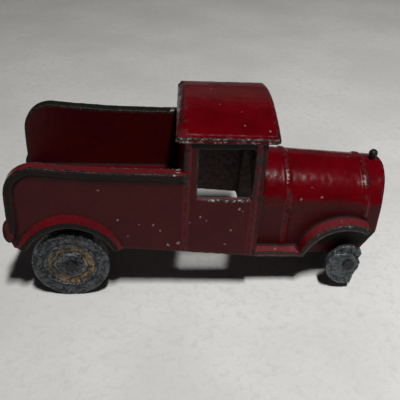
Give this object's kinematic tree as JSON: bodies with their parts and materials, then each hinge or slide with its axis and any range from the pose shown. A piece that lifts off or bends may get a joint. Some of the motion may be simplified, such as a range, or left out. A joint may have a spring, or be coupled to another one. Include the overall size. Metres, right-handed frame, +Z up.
{
  "type": "toy tow truck",
  "caption": "Slush-cast metal toy truck: open high-sided bed, hollow cab and hood with radiator, flared rear fenders, running boards, and cast disc wheels that turn on wire axles.",
  "frame": {"origin": "centre of the footprint on the ground, at the bottom of the bounding box", "axes": "+X forward to the radiator, +Y to the truck's left, +Z up; the truck stands nose-low on its rear wheels and its worn left front wheel"},
  "size_m": [0.1058, 0.0378, 0.0538],
  "materials": {
    "enamel": "chipped gloss enamel over dark cast metal",
    "cast_zinc": "bare pitted casting, dulled",
    "dull_steel": "darkened wire and cap"
  },
  "bodies": {
    "body": {"left_bed_side": "enamel", "right_bed_side": "enamel", "bed_floor": "enamel", "left_rear_fender": "enamel", "right_rear_fender": "enamel", "left_axle_lug": "enamel", "right_axle_lug": "enamel", "left_cab_side": "enamel", "right_cab_side": "enamel", "cab_back": "enamel", "windshield_frame": "enamel", "cab_roof": "enamel", "cowl": "enamel", "hood": "enamel", "radiator_shell": "enamel", "radiator_core": "cast_zinc", "radiator_cap": "dull_steel", "left_running_board": "enamel", "right_running_board": "enamel", "left_front_fender": "enamel", "right_front_fender": "enamel"},
    "rear_axle": {"rear_axle": "dull_steel"},
    "front_axle": {"front_axle": "dull_steel"},
    "left_rear_wheel": {"left_rear_wheel": "cast_zinc"},
    "right_rear_wheel": {"right_rear_wheel": "cast_zinc"},
    "left_front_wheel": {"left_front_wheel": "cast_zinc"},
    "right_front_wheel": {"right_front_wheel": "cast_zinc"}
  },
  "joints": [
    {"name": "rear_axle_turn", "type": "hinge", "parent": "body", "child": "rear_axle", "pos_m": [-0.03618, 0, 0.0107], "axis": [0, 1, 0], "continuous": true},
    {"name": "front_axle_turn", "type": "hinge", "parent": "body", "child": "front_axle", "pos_m": [0.04281, 0, 0.00931], "axis": [0, 1, 0], "continuous": true},
    {"name": "left_rear_wheel_spin", "type": "hinge", "parent": "rear_axle", "child": "left_rear_wheel", "pos_m": [-0.03618, 0, 0.0107], "axis": [0, 1, 0], "continuous": true},
    {"name": "right_rear_wheel_spin", "type": "hinge", "parent": "rear_axle", "child": "right_rear_wheel", "pos_m": [-0.03618, 0, 0.0107], "axis": [0, 1, 0], "continuous": true},
    {"name": "left_front_wheel_spin", "type": "hinge", "parent": "front_axle", "child": "left_front_wheel", "pos_m": [0.04281, 0, 0.00931], "axis": [0, 1, 0], "continuous": true},
    {"name": "right_front_wheel_spin", "type": "hinge", "parent": "front_axle", "child": "right_front_wheel", "pos_m": [0.04281, 0, 0.00931], "axis": [0, 1, 0], "continuous": true}
  ]
}
